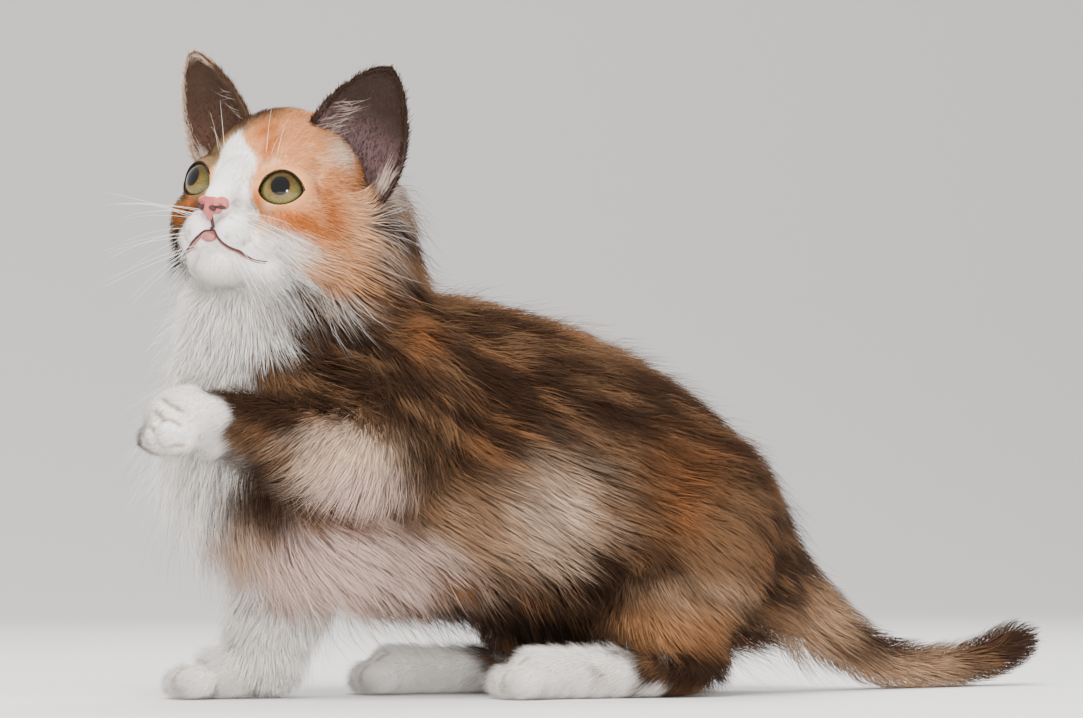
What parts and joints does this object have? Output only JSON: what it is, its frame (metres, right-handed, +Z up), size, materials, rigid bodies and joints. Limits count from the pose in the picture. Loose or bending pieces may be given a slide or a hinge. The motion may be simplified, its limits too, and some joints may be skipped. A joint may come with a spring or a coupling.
{
  "type": "munchkin kitten",
  "caption": "Life-size still figure of a short-legged longhaired kitten standing with one forepaw raised, head turned and looking up, tail laid on the floor.",
  "frame": {"origin": "middle of the kitten's box, on the floor it stands on", "axes": "+X from the nose to the tail, along the longest side; +Y to the kitten's right, along the shortest side; +Z up"},
  "size_m": [0.373, 0.1086, 0.2283],
  "materials": {
    "head_fur": "short soft fur, apricot and white",
    "ear_skin": "thin skin under fine dark fur",
    "eyes": "wet gloss, olive iris and black pupil",
    "cream_fur": "long soft fur, cream and white",
    "dark_fur": "long soft fur, dark brown flecked with orange",
    "tan_fur": "soft fur, tan and brown",
    "orange_fur": "long soft fur, rust orange and cream",
    "white_fur": "short dense white fur"
  },
  "bodies": {
    "root": {"head": "head_fur", "ear_left": "ear_skin", "ear_right": "ear_skin", "eye_left": "eyes", "eye_right": "eyes", "neck": "cream_fur", "torso": "dark_fur", "foreleg_left": "tan_fur", "forepaw_left": "white_fur", "foreleg_right": "cream_fur", "forepaw_right": "white_fur", "thigh_left": "orange_fur", "hindfoot_left": "white_fur", "thigh_right": "dark_fur", "hindfoot_right": "white_fur", "tail_base": "tan_fur", "tail_mid": "tan_fur", "tail_tip": "dark_fur"}
  },
  "joints": []
}
